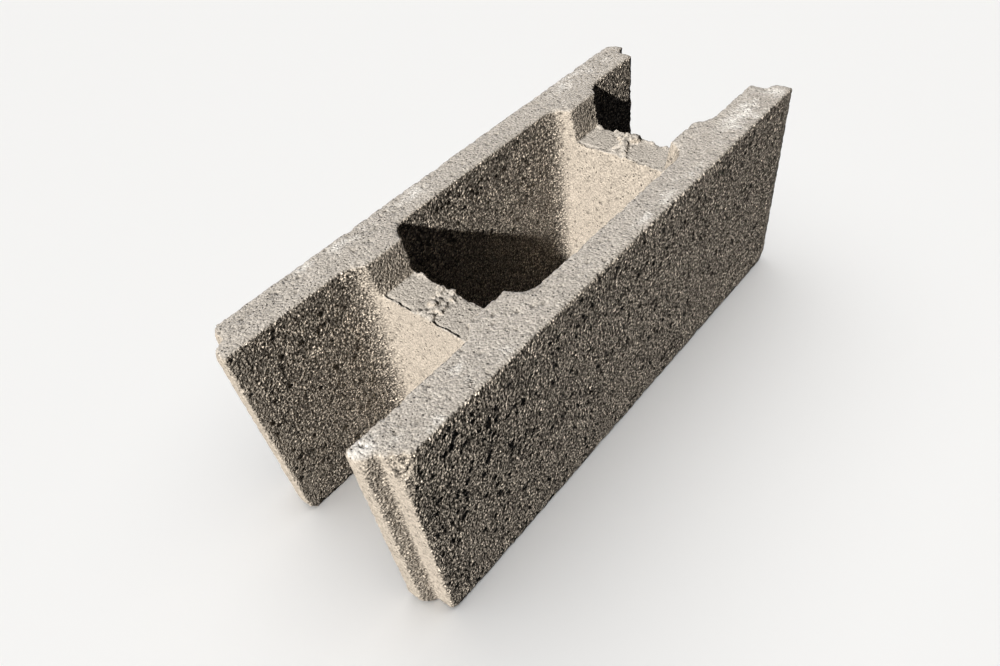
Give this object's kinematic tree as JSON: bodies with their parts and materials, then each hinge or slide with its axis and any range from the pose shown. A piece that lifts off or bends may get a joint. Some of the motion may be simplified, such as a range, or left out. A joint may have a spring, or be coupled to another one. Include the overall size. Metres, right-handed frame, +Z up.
{
  "type": "concrete shuttering block",
  "caption": "Hollow concrete block for dry-stacked, core-filled walls: two face shells joined by notched webs, with ship-lap ends.",
  "frame": {"origin": "on the floor, at the middle of the block's box", "axes": "+X along the block, from the end whose inner halves stand out to the end where they are set back; +Y across it; +Z up, with the notched tops of the webs uppermost"},
  "size_m": [0.512, 0.2, 0.2],
  "materials": {
    "concrete": "rough"
  },
  "bodies": {
    "root": {"block": "concrete"}
  },
  "joints": []
}
